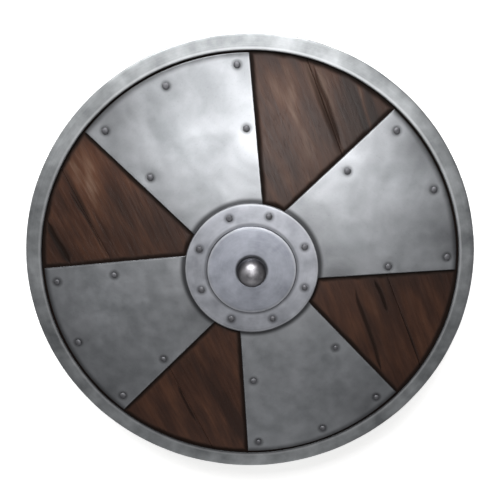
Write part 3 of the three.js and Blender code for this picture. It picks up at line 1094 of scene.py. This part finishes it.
@dataclass
class Planks:
    """Four oak planks side by side, cut to a disc, with their checks, seams and sawn faces."""

    grain_step: float = 4.2
    cross_step: float = 1.05
    check_step: float = 0.42
    check_lines: int = 6
    check_margin: float = 0.02
    least_step: float = 0.12
    least_side: float = 200.0
    round_edge: float = 0.5
    edge_gap: float = 1.2
    groove_depth: float = 0.13
    back_groove_depth: float = 0.169
    groove_mm: Pair = (2.8, 46.0)  # across and along the grain
    broad_mm: Pair = (7.56, 90.0)
    broad_share: float = 0.6
    sway_mm: Pair = (60.0, 150.0)
    sway: float = 3.5
    relief_shift: Triple = (3.0, 9.0, 31.0)  # of the sway, the grooves and the broad waves
    cup: float = 0.042
    pattern_step: Triple = (37.0, 61.0, 13.0)
    seed: int = 40
    checks: tuple[Check, ...] = (
        Check((78.0, 262.0), (119.0, 160.0), 2.4, 0.4, 0.55, 4.0),
        Check((-270.0, 66.0), (-241.0, 2.0), 7.0, 0.6, 0.9, 2.6),
        Check((141.0, -26.0), (188.0, -158.0), 2.8, 0.9, 0.75, 3.4),
        Check((168.0, -16.0), (190.0, -66.0), 3.0, 1.2, 0.8, 2.8),
        Check((-237.0, 108.0), (-196.0, 24.0), 1.8, 0.8, 0.6, 3.0),
        Check((-104.0, -172.0), (-76.0, -232.0), 2.2, 1.0, 0.7, 3.2),
    )
    streaks: tuple[Streak, ...] = (
        Streak((45.0, 250.0), (110.0, 100.0), 60.0, 0.45),
        Streak((-216.0, 150.0), (-200.0, 116.0), 30.0, 0.45),
        Streak((115.0, 235.0), (185.0, 150.0), 20.0, -0.35),
        Streak((-54.0, -165.0), (-20.0, -245.0), 9.0, -0.8),
        Streak((140.0, 224.0), (152.0, 190.0), 2.6, 1.5),
        Streak((149.0, 226.0), (162.0, 190.0), 4.0, -1.2),
        Streak((132.0, 224.0), (145.0, 190.0), 3.4, -1.0),
        Streak((118.0, 240.0), (128.0, 214.0), 3.0, -0.9),
        Streak((-232.0, 126.0), (-190.0, 60.0), 16.0, 0.2),
        Streak((72.0, 258.0), (112.0, 164.0), 3.0, 0.4),
    )
    patches: tuple[Patch, ...] = (
        Patch(40.0, 212.0, 44.0, 0.4), Patch(138.0, 182.0, 44.0, -0.42), Patch(128.0, -46.0, 34.0, 0.42),
        Patch(178.0, -20.0, 34.0, -0.42), Patch(-84.0, -136.0, 24.0, -0.35), Patch(-190.0, 142.0, 38.0, 0.6),
        Patch(-178.0, 84.0, 22.0, -0.15), Patch(-264.0, 14.0, 30.0, -0.3), Patch(190.0, -100.0, 70.0, -0.16),
        Patch(-238.0, 92.0, 36.0, 0.3), Patch(-142.0, 122.0, 26.0, 0.35), Patch(262.0, -24.0, 34.0, -0.2),
    )
    seam_mm: float = 5.0
    seam_dark: float = 0.1
    dark_seams: tuple[Patch, ...] = (
        Patch(98.0, 205.0, 60.0, 0.62), Patch(-225.0, 88.0, 42.0, 0.68), Patch(222.0, -104.0, 46.0, 0.75),
    )

    def __post_init__(self) -> None:
        """Reads the steel's edges and the board's size from the frame."""
        self.names = numbered("plank", PLANKS)
        self.reach = radii(self.names[1]).max()
        self.plates = tuple(tuple(straight_edges(f"plate_{side.value}")) for side in Side)
        self.rim, self.flange = Foot(0.0, 0.0, radii("rim").min()), Foot.of("boss_flange")

    def seams(self, name: str) -> list[Line]:
        """Gives a plank's two sides, both with normals across the grain to the right.

        Args:
            name: the plank's node.

        Returns:
            The left and the right side.
        """
        sides = [s if math.cos(s.angle) > 0 else s.turned() for s in straight_edges(name, self.least_side)]
        if len(sides) == 1:
            sides.append(Line(sides[0].angle, math.copysign(self.reach - self.edge_gap, sides[0].offset)))
        return sorted(sides, key=lambda s: s.offset)

    def plan(self, left: Line, right: Line) -> Plan:
        """Lays out a plank's grid from side to side and end to end, finer where it has a check.

        Args:
            left: its left side.
            right: its right side.

        Returns:
            A function from inset to grid points.
        """
        width = right.offset - left.offset
        places = list(np.linspace(0, 1, int(width / self.cross_step) + 1))
        lines = np.arange(-self.check_lines, self.check_lines + 1) * self.check_step / width
        for check in self.checks:
            middle = (np.array(check.start) + np.array(check.end)) / 2
            share = (middle @ left.normal() - left.offset) / width
            if self.check_margin < share < 1 - self.check_margin:
                places += list(share + lines)
        share = np.array(sorted(p for p in places if 0 <= p <= 1))
        share = share[np.insert(np.diff(share) * width > self.least_step, 0, True)]
        share[-1] = 1.0
        sweep = np.linspace(-1, 1, int(2 * self.reach / self.grain_step) + 1)

        def grid(inset: float) -> ndarray:
            """Gives the grid at an inset from the plank's outline.

            Args:
                inset: the inset in millimetres.

            Returns:
                Plan coordinates by row and column.
            """
            offset = (left.offset + inset) + (width - 2 * inset) * share
            angle = left.angle + (right.angle - left.angle) * share
            half = np.sqrt(np.maximum((self.reach - inset) ** 2 - offset ** 2, 1.0))
            across = np.stack([np.cos(angle), np.sin(angle)], -1)
            along = np.stack([-np.sin(angle), np.cos(angle)], -1)
            return (across * offset[:, None])[:, None, :] + along[:, None, :] * (
                half[:, None] * sweep[None, :])[..., None]
        return grid

    def build_one(self, number: int, name: str) -> None:
        """Builds and dresses one plank.

        Args:
            number: its place in the row, from 0.
            name: its node.
        """
        left, right = self.seams(name)
        grain = (left.angle + right.angle) / 2
        across = Line(grain, 0.0).normal()
        fine, coarse, wander = (Unevenness(self.seed + 3 * number + k) for k in range(3))
        low, high = corners(name)
        middle, half = (left.offset + right.offset) / 2, (right.offset - left.offset) / 2

        def grooves(x: ndarray, y: ndarray, depth: float) -> ndarray:
            """Gives the sawn and weathered relief along the grain, never above the face.

            Args:
                x: first plan coordinates.
                y: second plan coordinates.
                depth: depth of the grooves.

            Returns:
                Heights from the face.
            """
            u, v = x * across[0] + y * across[1], -x * across[1] + y * across[0]
            swayed, grooved, broad = self.relief_shift
            u = u + self.sway * coarse.at(u / self.sway_mm[0] + swayed, v / self.sway_mm[1])
            ridge = (fine.at(u / self.groove_mm[0], v / self.groove_mm[1] + grooved)
                     + self.broad_share * fine.at(u / self.broad_mm[0] + broad, v / self.broad_mm[1]))
            highest = 1 + self.broad_share
            return depth * (ridge - highest) / 2 - self.cup * ((u - middle) / half) ** 2

        def top(x: ndarray, y: ndarray) -> ndarray:
            """Gives the face's relief with its checks."""
            return grooves(x, y, self.groove_depth) - sum(c.cut(x, y, wander) for c in self.checks)

        def back(x: ndarray, y: ndarray) -> ndarray:
            """Gives the rougher, plainer relief behind."""
            return -grooves(x, y, self.back_groove_depth)

        def soot_and_shade(x: ndarray, y: ndarray) -> ndarray:
            """Marks the dark checks and the seams.

            Args:
                x: first plan coordinates.
                y: second plan coordinates.

            Returns:
                The dirt's shares.
            """
            u = x * across[0] + y * across[1]
            away = np.minimum(np.abs(u - left.offset), np.abs(u - right.offset))
            dark = smooth_step(1 - away / self.seam_mm) * (self.seam_dark + spread(self.dark_seams)(x, y))
            return reduce(np.maximum, (c.stain(x, y, wander) for c in self.checks), dark)

        marks = {"soot_and_shade": soot_and_shade, "tone": spread(self.streaks), "light": spread(self.patches)}
        slab = Slab(name + ".oak", self.plan(left, right), low[2], high[2], self.round_edge, self.round_edge,
                    top, back, marks, edge_worn=0.0)
        finish = OiledOak(f"oak_sawn_stained_and_oiled_{number + 1}", Slot.OAK, grain=grain,
                          shift=tuple(number * step for step in self.pattern_step), plates=self.plates,
                          rim=self.rim, flange=self.flange, mid_height=(low[2] + high[2]) / 2)
        settle(slab.build(), finish, name)

    def build(self) -> None:
        """Builds all the planks."""
        for number, name in enumerate(self.names):
            self.build_one(number, name)


# ---- Rim, plates and boss -------------------------------------------------------------------------

@dataclass
class Rim:
    """The steel channel bent round the planks, its inner lip filed to a slope."""

    sheet: float = 2.8
    back: float = 14.0
    corner: float = 2.0
    lip: float = 4.0
    lip_drop: float = 0.4
    lip_knee: Pair = (0.3, 0.25)  # where its slope eases: a share of its width, and the drop there
    lip_round: Triple = (0.2, 0.4, 0.3)  # below it, at its edge and at its knee
    crest_round: float = 1.4
    fold_round: Triple = (0.6, 0.4, 0.5)  # at the fold's end, and behind it and inside the channel
    lip_worn: float = 0.45
    worn_margin: float = 0.7
    # soot and painted shade on the lip's inner edge and wall: its share, where it starts and how far it
    # fades
    soot_and_shade: float = 0.92
    soot_and_shade_from: float = 0.3
    soot_and_shade_mm: float = 2.4
    steps: int = 288

    def build(self) -> None:
        """Builds and dresses the rim."""
        low, high = corners("rim")
        reach, top, foot = high[0], high[2], low[2]
        inner, back = radii("rim").min(), reach - self.back
        share, drop = self.lip_knee
        below, edge, knee = self.lip_round
        end, behind, inside = self.fold_round
        profile = rounded((
            (inner, top - self.sheet, below), (inner, top - self.lip_drop, edge),
            (inner + share * self.lip, top - drop, knee), (inner + self.lip, top, self.crest_round),
            (reach - 4 * self.corner, top, 0), (reach, top, self.corner),
            (reach, (top + foot) / 2, 0), (reach, foot, self.corner), (back, foot, end),
            (back, foot + self.sheet, behind), (reach - self.sheet, foot + self.sheet, inside),
            (reach - self.sheet, top - self.sheet, inside)))
        # the lip's inner edge and wall get soot and painted shade, the shade of the gap beside the plates
        gap = np.where(profile[:, 1] > top - self.sheet, profile[:, 0] - inner, reach)
        marks = {"worn": np.where(gap < self.lip + self.worn_margin, self.lip_worn, 0.0),
                 "soot_and_shade": self.soot_and_shade * (1 - smooth_step((gap - self.soot_and_shade_from) / self.soot_and_shade_mm))}
        lathe = Lathe("rim.channel", profile, Foot(0.0, 0.0, reach), self.steps, wobble=0.22,
                      ripple_mm=26.0, seed=5, marks=marks)
        finish = TurnedSteel("steel_channel_hand_filed", Slot.RIM, dark="939698", light="C8CBCD",
                             roughness=0.44, cloud_mm=48.0, grit_mm=1.1)
        settle(lathe.build(), finish, "rim")


@dataclass
class FacePlates:
    """Four steel plates riveted to the face like the sails of a windmill."""

    round_edge: float = 1.3
    fall: float = 0.6
    cell: float = 2.1
    dish: float = 0.24
    dish_mm: float = 46.0
    dish_shift: Pair = (9.0, 4.0)
    ripple: float = 0.07
    ripple_mm: float = 13.0
    ripple_shift: float = 30.0
    dimple: float = 0.35
    dimple_mm: float = 9.0
    edge_worn: float = 0.25
    # soot and painted shade on the plates' edge walls
    edge_soot_and_shade: float = 0.85
    brush_degrees: float = 40.0
    pattern_step: Triple = (91.0, 47.0, 0.0)
    seed: int = 70
    patches: tuple[Patch, ...] = (
        Patch(-105, 170, 38, 0.41), Patch(-172, 205, 36, -0.26), Patch(0, 112, 34, -0.2),
        Patch(200, 112, 38, 0.27), Patch(76, 60, 36, -0.34), Patch(274, 45, 34, -0.42),
        Patch(116, -10, 32, -0.4), Patch(218, 160, 30, -0.32), Patch(142, 40, 26, 0.2),
        Patch(162, -206, 40, -0.33), Patch(82, -78, 20, -0.18), Patch(20, -232, 34, 0.1),
        Patch(-195, -45, 38, 0.27), Patch(-62, -68, 36, -0.32), Patch(-190, -182, 40, -0.19),
        Patch(-250, -100, 34, -0.12),
    )

    def sector(self, lines: Sequence[Line], inner: float, outer: float) -> Plan:
        """Lays out a grid between two straight edges and two arcs.

        Args:
            lines: the straight edges, with normals outwards.
            inner: radius of the inner arc.
            outer: radius of the outer arc.

        Returns:
            A function from inset to grid points.
        """
        def swing(inset: float, reach: ndarray) -> tuple[ndarray, ndarray]:
            """Finds where the arc of each radius meets the straight edges.

            Args:
                inset: how far inside the outline.
                reach: the radii.

            Returns:
                The turn of the first edge and the gap to the second at each radius.
            """
            ends = []
            for line, other in (lines, lines[::-1]):
                half = np.arccos((line.offset - inset) / reach)
                first, second = line.angle + half, line.angle - half
                nearer = np.cos(first - other.angle) < np.cos(second - other.angle)
                ends.append(np.where(nearer, first, second))
            return ends[0], (ends[1] - ends[0] + math.pi) % (2 * math.pi) - math.pi

        rows = int((outer - inner) / self.cell) + 1
        widest = abs(float(swing(0.0, np.array([outer]))[1][0])) * outer
        share = np.linspace(0, 1, int(widest / self.cell) + 1)

        def grid(inset: float) -> ndarray:
            """Gives the grid at an inset from the plate's outline.

            Args:
                inset: the inset in millimetres.

            Returns:
                Plan coordinates by row and column.
            """
            reach = np.linspace(inner + inset, outer - inset, rows)
            start, gap = swing(inset, reach)
            turn = start[:, None] + gap[:, None] * share[None, :]
            return np.stack([np.cos(turn) * reach[:, None], np.sin(turn) * reach[:, None]], -1)
        return grid

    def build_one(self, number: int, side: Side) -> None:
        """Builds and dresses one plate.

        Args:
            number: its place clockwise, from 0.
            side: where it sits.
        """
        node = f"plate_{side.value}"
        low, high = corners(node)
        reach = radii(node)
        near_rivets = round_rivets(numbered(f"rivet_{side.value}", PLATE_RIVETS))
        # dirt and painted shadow round the flange's foot
        near_flange = DirtAndShadeRing((Foot.of("boss_flange"),), full=2.2, gone=7.3, ragged=3.0, most=0.86)
        noise = Unevenness(self.seed + number)

        def top(x: ndarray, y: ndarray) -> ndarray:
            """Gives the hammered, slightly dished face, pulled in at the rivets.

            Args:
                x: first plan coordinates.
                y: second plan coordinates.

            Returns:
                Heights from the face.
            """
            u, v = self.dish_shift
            z = (self.dish * noise.at(x / self.dish_mm + u, y / self.dish_mm + v)
                 + self.ripple * noise.at(x / self.ripple_mm, y / self.ripple_mm + self.ripple_shift))
            for rivet in near_rivets.feet:
                away = np.hypot(x - rivet.x, y - rivet.y)
                z = z - self.dimple * np.exp(-(away / self.dimple_mm) ** 2)
            return z

        plan = self.sector(straight_edges(node), reach.min(), reach.max())
        slab = Slab(node + ".sheet", plan, low[2], high[2], self.round_edge, self.fall, top,
                    lambda x, y: np.zeros_like(x), {"light": spread(self.patches)},
                    self.edge_worn, self.edge_soot_and_shade)
        finish = GroundSteel(f"steel_sheet_hand_ground_{side.value}", Slot.PLATE,
                             brush_turn=math.radians(self.brush_degrees + 90.0 * number),
                             shift=tuple(number * step for step in self.pattern_step),
                             dirt_and_shade_rings=(near_rivets, near_flange), arc=Foot(0.0, 0.0, reach.max()))
        settle(slab.build(), finish, node)

    def build(self) -> None:
        """Builds all the plates."""
        for number, side in enumerate(Side):
            self.build_one(number, side)


@dataclass(frozen=True)
class BossPlate:
    """A round plate of the boss, its edge sloped or rounded, in millimetres."""

    node: str
    piece: str
    rings: Pair  # shares of its radius where its flat face has more points
    bevel: float
    rounding: Pair  # above the bevel and below it
    wobble: float
    ripple_mm: float
    seed: int
    patches: tuple[Patch, ...]
    drop: float = 0.22
    hole: float = 5.6
    small_round: float = 0.3
    bevel_worn: float = 0.4
    edge_mm: float = 0.9
    edge_soot_and_shade: float = 0.75
    steps: int = 192

    def build(self, axis: Foot, finish: TurnedSteel) -> None:
        """Builds and dresses the plate.

        Args:
            axis: the boss's outline.
            finish: the plate's finish.
        """
        low, high = corners(self.node)
        reach, top, foot, small = Foot.of(self.node).radius, high[2], low[2], self.small_round
        profile = rounded((
            (self.hole, foot, small), (self.hole, top, small), *((reach * r, top, 0.0) for r in self.rings),
            (reach - self.bevel, top, self.rounding[0]), (reach, top - self.drop, self.rounding[1]),
            (reach, foot, small)))
        inside = reach - profile[:, 0]
        # the outer wall gets soot and painted shade; the bevel is worn bright
        marks = {"worn": np.where((inside > self.edge_mm) & (inside < self.bevel), self.bevel_worn, 0.0),
                 "soot_and_shade": np.where(inside < self.edge_mm, self.edge_soot_and_shade, 0.0)}
        lathe = Lathe(self.piece, profile, axis, self.steps, self.wobble, self.ripple_mm, self.seed, marks,
                      spread(self.patches))
        settle(lathe.build(), finish, self.node)


@dataclass
class Boss:
    """The stepped boss: a riveted flange, a smaller disc with a rounded edge, and a domed knob."""

    flange: BossPlate = BossPlate(
        "boss_flange", "boss_flange.sheet", rings=(0.72, 0.86), bevel=3.2, rounding=(1.6, 0.7), wobble=0.16,
        ripple_mm=22.0, seed=11, patches=(Patch(-75, 0, 34, -0.12), Patch(20, 74, 34, -0.05)))
    # painted light: the disc's patches lighten its left side and darken its right, evening out how the lamps
    # light it
    disc: BossPlate = BossPlate(
        "boss_disc", "boss_disc.plate", rings=(0.45, 0.7), bevel=4.0, rounding=(2.4, 1.1), wobble=0.12,
        ripple_mm=18.0, seed=17, patches=(Patch(-36, 4, 28, 0.15), Patch(38, 4, 28, -0.1),
                                          Patch(0, -42, 26, 0.07), Patch(0, 40, 24, 0.03)))
    bulge: float = 11.0
    foot: float = 15.0
    stem: float = 5.0
    washer: float = 13.0
    washer_thick: float = 2.5
    washer_round: float = 0.8
    knob_gap: float = 0.3
    knob_steps: int = 96
    # the knob's flank gets painted shade
    knob_flank_shade: Pair = (0.5, 1.06)  # shares of its radius from which it darkens, and where it's darkest

    def build(self) -> None:
        """Builds and dresses the three pieces."""
        axis = Foot.of("boss_flange")
        shift = (-axis.x, -axis.y, 0.0)
        near_rivets = round_rivets(numbered("rivet_boss", BOSS_RIVETS))
        # dirt and painted shadow round the feet of the disc and the knob
        near_disc = DirtAndShadeRing((Foot.of("boss_disc"),), full=1.5, gone=3.7, ragged=3.0, most=0.5)
        near_knob = DirtAndShadeRing((Foot.of("boss_knob"),), full=0.9, gone=2.7, ragged=3.0, most=0.86)
        self.flange.build(axis, TurnedSteel(
            "steel_flange_turned_and_dulled", Slot.PLATE, dark="A0A2A9", light="CACCD3", roughness=0.44,
            cloud_mm=40.0, shift=shift, dirt_and_shade_rings=(near_rivets, near_disc)))
        self.disc.build(axis, TurnedSteel(
            "steel_disc_turned_and_dulled", Slot.PLATE, dark="999CA6", light="BDC0CA", roughness=0.42,
            cloud_mm=34.0, shift=shift, dirt_and_shade_rings=(near_knob,)))
        self.build_knob(axis, shift)

    def build_knob(self, axis: Foot, shift: Triple) -> None:
        """Builds the knob with its stem and the washer behind.

        Args:
            axis: the boss's outline.
            shift: moves the knob's pattern to that axis.
        """
        low, high = corners("boss_knob")
        reach, back = Foot.of("boss_knob").radius, low[2]
        seat = corners("boss_disc")[1][2] + self.knob_gap
        wide = seat + self.bulge
        dome = quarter_oval((0.0, wide), reach, high[2] - wide, steps=26)
        under = quarter_oval((self.foot, wide), reach - self.foot, seat - wide, steps=12)[-2::-1]
        tail = [(self.stem, seat), (self.stem, back + self.washer_thick),
                (self.washer, back + self.washer_thick), (self.washer, back + self.washer_round),
                (self.washer - self.washer_round, back), (0.0, back)]
        lathe = Lathe("boss_knob.forged", np.array(dome + under + tail), axis, self.knob_steps, wobble=0.14,
                      ripple_mm=11.0, seed=23)
        # its dark colour here is only the painted shade on the flank
        finish = TurnedSteel("steel_knob_polished_by_hand", Slot.KNOB, dark="8E8C90", light="BDBBBF",
                             grime_and_shade="1E1B1C", roughness=0.45, cloud_mm=18.0, mottle_mm=4.0, shift=shift,
                             flank=tuple(reach * share for share in self.knob_flank_shade))
        settle(lathe.build(), finish, "boss_knob")


# ---- Rivets and nails -----------------------------------------------------------------------------

@dataclass
class Fasteners:
    """Rivets with hammered domes in front and clenched ends behind, and the nails of grip and strap."""

    shank: float = 2.4
    head_height: float = 2.4
    head_edge: float = 0.3
    head_fullness: float = 0.9
    clench_radius: float = 4.6
    clench_height: float = 1.4
    clench_round: Pair = (0.9, 0.6)
    rivet_steps: int = 40
    rivet_uneven: Pair = (0.22, 4.2)  # how much, and the size of a ripple
    rivet_seed: int = 200
    forged: float = 0.94
    filed: dict[str, float] = field(default_factory=lambda: {
        "rivet_lower_right_5": 0.7, "rivet_lower_right_1": 0.82, "rivet_lower_right_3": 0.8,
        "rivet_left_1": 0.82, "rivet_left_4": 0.82, "rivet_left_5": 0.8, "rivet_boss_4": 0.86,
        "rivet_boss_5": 0.86})
    nail_head: float = 1.8
    nail_shank: float = 1.7
    nail_point: float = 2.5
    nail_edge: float = 0.2
    nail_steps: int = 32
    nail_uneven: Pair = (0.12, 4.0)
    nail_seed: int = 300
    finish: GroundSteel = GroundSteel(
        "iron_forged_and_oil_blackened", Slot.RIVET, dark="5E5E61", light="828286", edge="9A9A9C",
        grime_and_shade="242120", roughness=0.63, cloud_mm=6.0, mottle_mm=2.2, grit_mm=0.6)

    def rivet(self, name: str) -> list[Pair]:
        """Traces a rivet, its head a little narrower than its node's, and some filed down further.

        Args:
            name: its node.

        Returns:
            Radius and height of each point of the profile.
        """
        low, high = corners(name)
        reach, back = Foot.of(name).radius * self.filed.get(name, self.forged), low[2]
        seat, clench, (across, up) = high[2] - self.head_height, self.clench_radius, self.clench_round
        dome = quarter_oval((0.0, seat + self.head_edge), reach, self.head_height - 3 * self.head_edge,
                            steps=12, fullness=self.head_fullness)
        return dome + [(reach - self.head_edge, seat), (self.shank, seat),
                       (self.shank, back + self.clench_height), (clench, back + self.clench_height),
                       (clench, back + up), (clench - across, back), (0.0, back)]

    def nail(self, name: str) -> list[Pair]:
        """Traces a nail, its head down and its point up in the board.

        Args:
            name: its node.

        Returns:
            Radius and height of each point of the profile.
        """
        low, high = corners(name)
        reach, seat, tip = Foot.of(name).radius, low[2] + self.nail_head, high[2]
        dome = quarter_oval((0.0, seat - self.head_edge), reach, self.head_edge - self.nail_head, steps=8)
        return dome + [(reach - self.nail_edge, seat), (self.nail_shank, seat),
                       (self.nail_shank, tip - self.nail_point), (0.0, tip)]

    def build(self) -> None:
        """Builds and dresses them all."""
        groups = [(f"rivet_{side.value}", PLATE_RIVETS) for side in Side] + [("rivet_boss", BOSS_RIVETS)]
        rivets = [name for group in groups for name in numbered(*group)]
        nails = numbered("nail_grip", NAILS) + numbered("nail_strap", NAILS)
        for names, trace, steps, uneven, seed in (
                (rivets, self.rivet, self.rivet_steps, self.rivet_uneven, self.rivet_seed),
                (nails, self.nail, self.nail_steps, self.nail_uneven, self.nail_seed)):
            for number, name in enumerate(names):
                lathe = Lathe(name + ".head", np.array(trace(name)), Foot.of(name), steps, *uneven,
                              seed=seed + 2 * number)
                settle(lathe.build(), self.finish, name)


# ---- Grip and strap -------------------------------------------------------------------------------

@dataclass(frozen=True)
class Holder:
    """A piece behind the board with its frame node's shape, softened and uneven, in millimetres."""

    node: str
    piece: str
    voxel: float
    soften: int
    depth: float
    ripple_mm: float
    seed: int
    finish: Finish
    weld: float = 0.02
    ease: float = 0.5
    ripple_shift: Pair = (11.0, 23.0)
    ripple_width: float = 0.5  # as a share of its length

    def remeshed(self) -> Object:
        """Makes an even, softened copy of the frame node's mesh.

        Returns:
            The new object, linked to the scene.
        """
        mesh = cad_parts[self.node].data.copy()
        mesh.materials.clear()
        made = bpy.data.objects.new(self.piece, mesh)
        bpy.context.scene.collection.objects.link(made)
        weld = made.modifiers.new("weld", "WELD")
        weld.merge_threshold = self.weld * MM
        cells = made.modifiers.new("cells", "REMESH")
        cells.mode, cells.voxel_size = "VOXEL", self.voxel * MM
        ease = made.modifiers.new("ease", "SMOOTH")
        ease.factor, ease.iterations = self.ease, self.soften
        graph = bpy.context.evaluated_depsgraph_get()
        final = bpy.data.meshes.new_from_object(made.evaluated_get(graph))
        made.modifiers.clear()
        made.data = final
        final.name = self.piece
        final.shade_smooth()
        return made

    def roughen(self, mesh: bpy.types.Mesh) -> None:
        """Moves the surface in a little along its normals, here more and there less.

        Args:
            mesh: the piece's mesh.
        """
        points, normals = np.zeros((2, len(mesh.vertices) * 3))
        mesh.vertices.foreach_get("co", points)
        mesh.vertices.foreach_get("normal", normals)
        x, y, z = points.reshape(-1, 3).T / MM / self.ripple_mm
        u, v = self.ripple_shift
        height = Unevenness(self.seed).at(x + z + u, y * self.ripple_width + v)
        points -= normals * np.repeat((1 - height) / 2 * self.depth * MM, 3)
        mesh.vertices.foreach_set("co", points)
        mesh.update()

    def build(self) -> None:
        """Builds and dresses the piece."""
        made = self.remeshed()
        self.roughen(made.data)
        settle(made, self.finish, self.node)


@dataclass
class Holders:
    """The carved grip and the leather arm strap nailed behind."""

    grip: Holder = Holder("grip", "grip.carved", voxel=1.5, soften=5, depth=0.5, ripple_mm=7.0, seed=401,
                          finish=CarvedAsh("ash_carved_and_oiled", Slot.GRIP))
    strap: Holder = Holder("arm_strap", "arm_strap.leather", voxel=1.3, soften=3, depth=0.35,
                           ripple_mm=12.0, seed=411,
                           finish=WaxedLeather("harness_leather_waxed", Slot.STRAP))

    def build(self) -> None:
        """Builds both."""
        self.grip.build()
        self.strap.build()


# ---- Studio ---------------------------------------------------------------------------------------

@dataclass(frozen=True)
class Lamp:
    """A soft square lamp aimed at the boss: where it stands, its side in metres, its power in watts."""

    name: str
    place: Triple
    side: float
    power: float

    def build(self) -> None:
        """Adds the lamp."""
        data = bpy.data.lights.new(self.name, "AREA")
        data.shape, data.size, data.energy = "SQUARE", self.side, self.power
        made = bpy.data.objects.new(self.name, data)
        made.location = self.place
        made.rotation_euler = (-Vector(self.place)).to_track_quat("-Z", "Y").to_euler()
        bpy.context.scene.collection.objects.link(made)


@dataclass
class Studio:
    """A pale floor, soft lamps and the camera above the shield, in metres."""

    camera_place: Triple = (0.0, 0.225, 0.868)
    camera_tilt: float = -14.2
    lens_mm: float = 44.0
    sensor_mm: float = 36.0
    floor_side: float = 14.0
    lamps: tuple[Lamp, ...] = (
        Lamp("overhead", (0.09, 0.10, 1.28), 0.35, 3.4),
        Lamp("far_side", (-0.25, 1.6, 1.6), 1.0, 58.0),
        Lamp("near_side", (0.0, -1.8, 1.2), 1.2, 2.5),
        Lamp("left_side", (-1.8, 0.2, 1.2), 1.2, 1.4),
    )
    sky: tuple[tuple[float, Triple], ...] = (  # colours from the horizon up
        (0.0, (0.75, 0.75, 0.75)), (0.55, (0.42, 0.42, 0.43)), (0.9, (0.24, 0.24, 0.25)))
    sky_strength: float = 0.32

    def build(self) -> None:
        """Sets up the whole studio."""
        self.build_floor()
        self.build_sky()
        for lamp in self.lamps:
            lamp.build()
        self.build_camera()
        bpy.context.scene.view_settings.view_transform = "Standard"

    def build_floor(self) -> None:
        """Lays the floor under the shield."""
        half = self.floor_side / 2 / MM
        sheet = np.array([(-half, -half, 0), (half, -half, 0), (half, half, 0), (-half, half, 0)])
        floor = mesh_object("floor", sheet, [(0, 1, 2, 3)])
        floor.data.materials.append(WhitePaper("white_paper_sweep").material())

    def build_sky(self) -> None:
        """Sets the soft light all round, paler at the horizon than overhead."""
        world = bpy.data.worlds.new("studio")
        bpy.context.scene.world = world
        world.use_nodes = True
        add = partial(add_node, world.node_tree)
        world.node_tree.nodes.clear()
        height = add("SeparateXYZ", {0: add("TexCoord", out="Generated")}, out="Z")
        tone = add("ValToRGB", {"Fac": height}, stops=[(at, (*colour, 1.0)) for at, colour in self.sky])
        add("OutputWorld", {"Surface": add("Background", {"Color": tone, "Strength": self.sky_strength})})

    def build_camera(self) -> None:
        """Adds the camera."""
        data = bpy.data.cameras.new("camera")
        data.lens, data.sensor_width = self.lens_mm, self.sensor_mm
        made = bpy.data.objects.new("camera", data)
        made.location = self.camera_place
        made.rotation_euler = (math.radians(self.camera_tilt), 0.0, 0.0)
        bpy.context.scene.collection.objects.link(made)
        bpy.context.scene.camera = made


def main() -> None:
    """Builds the shield piece by piece, then the studio round it."""
    logging.basicConfig(level=logging.INFO, format="%(name)s: %(message)s")
    for assembly in (Planks(), Rim(), FacePlates(), Boss(), Fasteners(), Holders(), Studio()):
        assembly.build()


if __name__ == "__main__":
    main()
